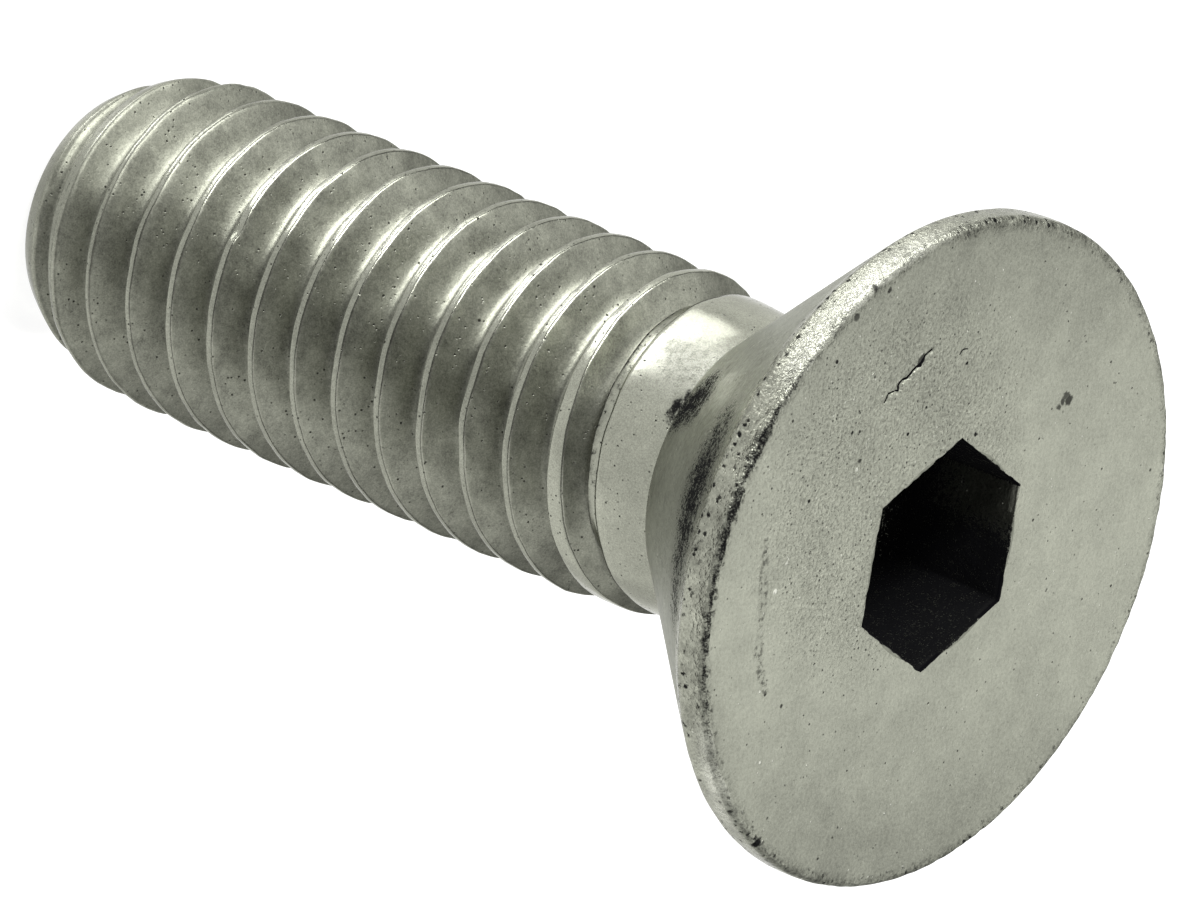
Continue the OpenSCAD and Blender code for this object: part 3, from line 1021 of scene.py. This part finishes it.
def steelMaterial():
    # Worn steel: a fine grain all over, sandier on the forged face, small dark pits, painted glints
    # and highlights, soft stains, matt soot in the crack and matt painted shade in the folds, seam
    # and socket
    material = bpy.data.materials.new("wornSteel")
    material.use_nodes = True
    tree = material.node_tree
    shader = tree.nodes["Principled BSDF"]
    base = Link(tree, None)
    place = base.add("ShaderNodeTexCoord", out=3).scaled(1 / mm)
    x, y, z = [base.add("ShaderNodeSeparateXYZ", {}, {0: place}, number) for number in range(3)]
    radius = hypotenuse(x, y)
    painted, polish, paintedHighlight = [base.add("ShaderNodeAttribute", {"attribute_name": name}, out=2)
                              for name in ("sootAndShade", "polish", "paintedHighlight")]
    part = partShares(x, y, z, radius, polish)
    noise = {name: place.noise(*values) for name, values in steelNoises.items()}
    grain = noise["grain"]
    wobble = (noise["fine"] - 0.5) * 1.6
    marks = scatteredMarks(place, z, radius, part, noise, paintedHighlight)
    # Painted glints at the given bright spots of the face
    bright = spotShare(x, y, [spot + (1.0,) for spot in glintSpots], wobble) * part["face"]
    marks["paintedGlint"] = marks["paintedGlint"].larger(bright)

    height = noisy(noise, part, reliefWeights, 0.0)
    height = height + sum(mark * steelMarks[name][3] for name, mark in marks.items())
    bump = base.add("ShaderNodeBump", {}, {"Strength": 1.0, "Distance": mm, "Height": height})

    # Painted soot and painted shade break up along the noises, whole only where they are strongest
    strength = painted * weighted(part, paintWeights) + noisy(noise, part, sootAndShadeWeights) - 0.5
    broken = strength.eased(0.0, 0.8) * painted.eased(0.02, 0.3) * 0.9
    sootAndShade = broken.larger(painted.eased(0.85, 1.0) * (1 - part["cone"]))
    for name, mark in marks.items():
        if steelMarks[name][4]:
            sootAndShade = sootAndShade.larger(mark * steelMarks[name][4])
    sootAndShade = sootAndShade.larger(faceLines(x, y, noise, wobble) * part["face"])

    # The tone is a factor about 1: the part's own, the noises and the grains, less the crests'
    # painted shade
    tone = weighted(part, partTone) + noisy(noise, part, toneWeights)
    tone = tone - grain.eased(0.6, 0.74) * weighted(part, darkGrains)
    tone = tone + (1 - grain.eased(0.26, 0.38)) * weighted(part, lightGrains)
    tone = tone - (x * x) * steel["faceFall"] * part["face"]
    # Painted shade on the crests, left out where they carry the painted highlight
    shadedCrests = part["shank"] * polish * (1 - z.eased(*steel["crestShadeEnd"])) * (1 - paintedHighlight)
    tone = tone - shadedCrests * steel["crestShade"]
    # Painted highlights whiten the colour, broken up by the noises
    whiten = paintedHighlight * (noisy(noise, part, highlightWeights) + steel["whiten"]).larger(0.0).smaller(1.0)
    colour = part["cone"].blend(part["face"].blend(steel["colour"], steel["face"]), steel["cone"])
    colour = marks["paintedGlint"].larger(whiten).blend(colour.scaled(tone), steel["paintedGlint"])
    colour = sootAndShade.blend(colour, steel["sootAndShade"])

    dull = (1 - z.eased(*steel["tipEnd"])) * steel["tipRoughness"] + steel["flankRoughness"]
    rough = mixed(dull, steel["roughness"], polish)
    rough = rough + (part["face"] + part["cone"]) * (steel["headRoughness"] - steel["roughness"])
    rough = rough + noisy(noise, part, roughWeights) + sootAndShade * 0.3 + whiten * 0.15
    for name, link in {"Base Color": colour, "Roughness": rough, "Normal": bump}.items():
        tree.links.new(link.socket, shader.inputs[name])
    setInputs(shader, {"Metallic": 1.0, "Specular Tint": steel["edge"]})
    # Soot and painted shade are matt: they cover the metal with a plain dark layer
    mattLayer = {"Color": steel["sootAndShade"], "Roughness": steel["sootAndShadeRoughness"], "Normal": bump}
    matt = base.add("ShaderNodeBsdfDiffuse", {}, mattLayer)
    metal = Link(tree, shader.outputs[0])
    whole = base.add("ShaderNodeMixShader", {}, {0: sootAndShade * steel["sootAndShadeCover"], 1: metal, 2: matt})
    tree.links.new(whole.socket, tree.nodes["Material Output"].inputs["Surface"])
    return material


# Studio: a pale glossy floor, four soft boxes and an even sky

studio = {
    "floorSize": 1.6,
    "floor": {
        "Base Color": (0.22, 0.22, 0.22, 1.0),
        "Roughness": 0.14,
        "IOR": 2.0,
        "Specular IOR Level": 1.0,
        "Emission Color": (1.0, 1.0, 1.0, 1.0),
        "Emission Strength": 0.87,
    },
    "sky": {"Color": (1.0, 1.0, 1.0, 1.0), "Strength": 0.22},
    "boxes": [
        # name, angle about the axis, elevation, distance, width, height, watts
        ("sideBox", -163.0, 34.0, 0.4, 0.17, 0.095, 1.2),
        ("leftBox", 166.0, 26.0, 0.4, 0.2, 0.11, 0.85),
        ("backBox", 86.0, 46.0, 0.9, 1.66, 0.9, 5.3),
        ("rightBox", -28.0, 47.0, 0.7, 0.8, 0.55, 1.6),
    ],
}
view = {
    "aim": (1.08, -0.41, 19.42),  # millimetres
    "angle": -111.0,
    "elevation": 37.76,
    "distance": 250.8,
    "roll": 112.77,
    "lens": 280.97,
    "sensor": 36.0,
}


def direction(angle, elevation):
    # Unit vector at an angle about the axis and an elevation above the floor, in degrees
    a, e = math.radians(angle), math.radians(elevation)
    return Vector((math.cos(e) * math.cos(a), math.cos(e) * math.sin(a), math.sin(e)))


def buildStudio():
    # A square floor of the given side, the even sky, and each box at its angle, elevation and
    # distance from the screw's middle, facing it
    size = studio["floorSize"]
    corners = np.array([[-1, -1, 0], [1, -1, 0], [1, 1, 0], [-1, 1, 0]]) * size / 2
    mesh = bpy.data.meshes.new("studioFloor")
    mesh.from_pydata(corners.tolist(), [], [(0, 1, 2, 3)])
    floor = placed("studioFloor", mesh)
    material = bpy.data.materials.new("paleFloor")
    material.use_nodes = True
    setInputs(material.node_tree.nodes["Principled BSDF"], studio["floor"])
    mesh.materials.append(material)

    world = bpy.data.worlds.new("evenSky")
    world.use_nodes = True
    setInputs(world.node_tree.nodes["Background"], studio["sky"])
    bpy.context.scene.world = world

    aim = Vector((0, 0, length / 2 * mm))
    for name, angle, elevation, distance, width, height, watts in studio["boxes"]:
        light = bpy.data.lights.new(name, "AREA")
        light.shape = "RECTANGLE"
        light.size = width
        light.size_y = height
        light.energy = watts
        lamp = placed(name, light)
        away = direction(angle, elevation)
        lamp.location = aim + away * distance
        lamp.rotation_euler = away.to_track_quat("Z", "Y").to_euler()
    bpy.context.scene.view_settings.view_transform = "Standard"


def buildCamera():
    # The camera looks at its aim from the photograph's side, rolled to put the head low on the right
    away = direction(view["angle"], view["elevation"])
    ahead = -away
    right = ahead.cross(Vector((0, 0, 1))).normalized()
    up = right.cross(ahead)
    roll = math.radians(view["roll"])
    across = right * math.cos(roll) + up * math.sin(roll)
    upright = up * math.cos(roll) - right * math.sin(roll)
    spot = (Vector(view["aim"]) + away * view["distance"]) * mm
    lens = bpy.data.cameras.new("photoView")
    lens.sensor_fit = "HORIZONTAL"
    lens.sensor_width = view["sensor"]
    lens.lens = view["lens"]
    lens.clip_start = 0.01
    camera = placed("photoView", lens)
    facing = Matrix((across, upright, away)).transposed().to_4x4()
    camera.matrix_world = Matrix.Translation(spot) @ facing
    bpy.context.scene.camera = camera


buildStudio()
buildCamera()
print("studio and camera placed")
screw = buildScrew()
screw.data.materials.append(steelMaterial())
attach(screw, "root")
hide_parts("screw")
print("screw dressed")
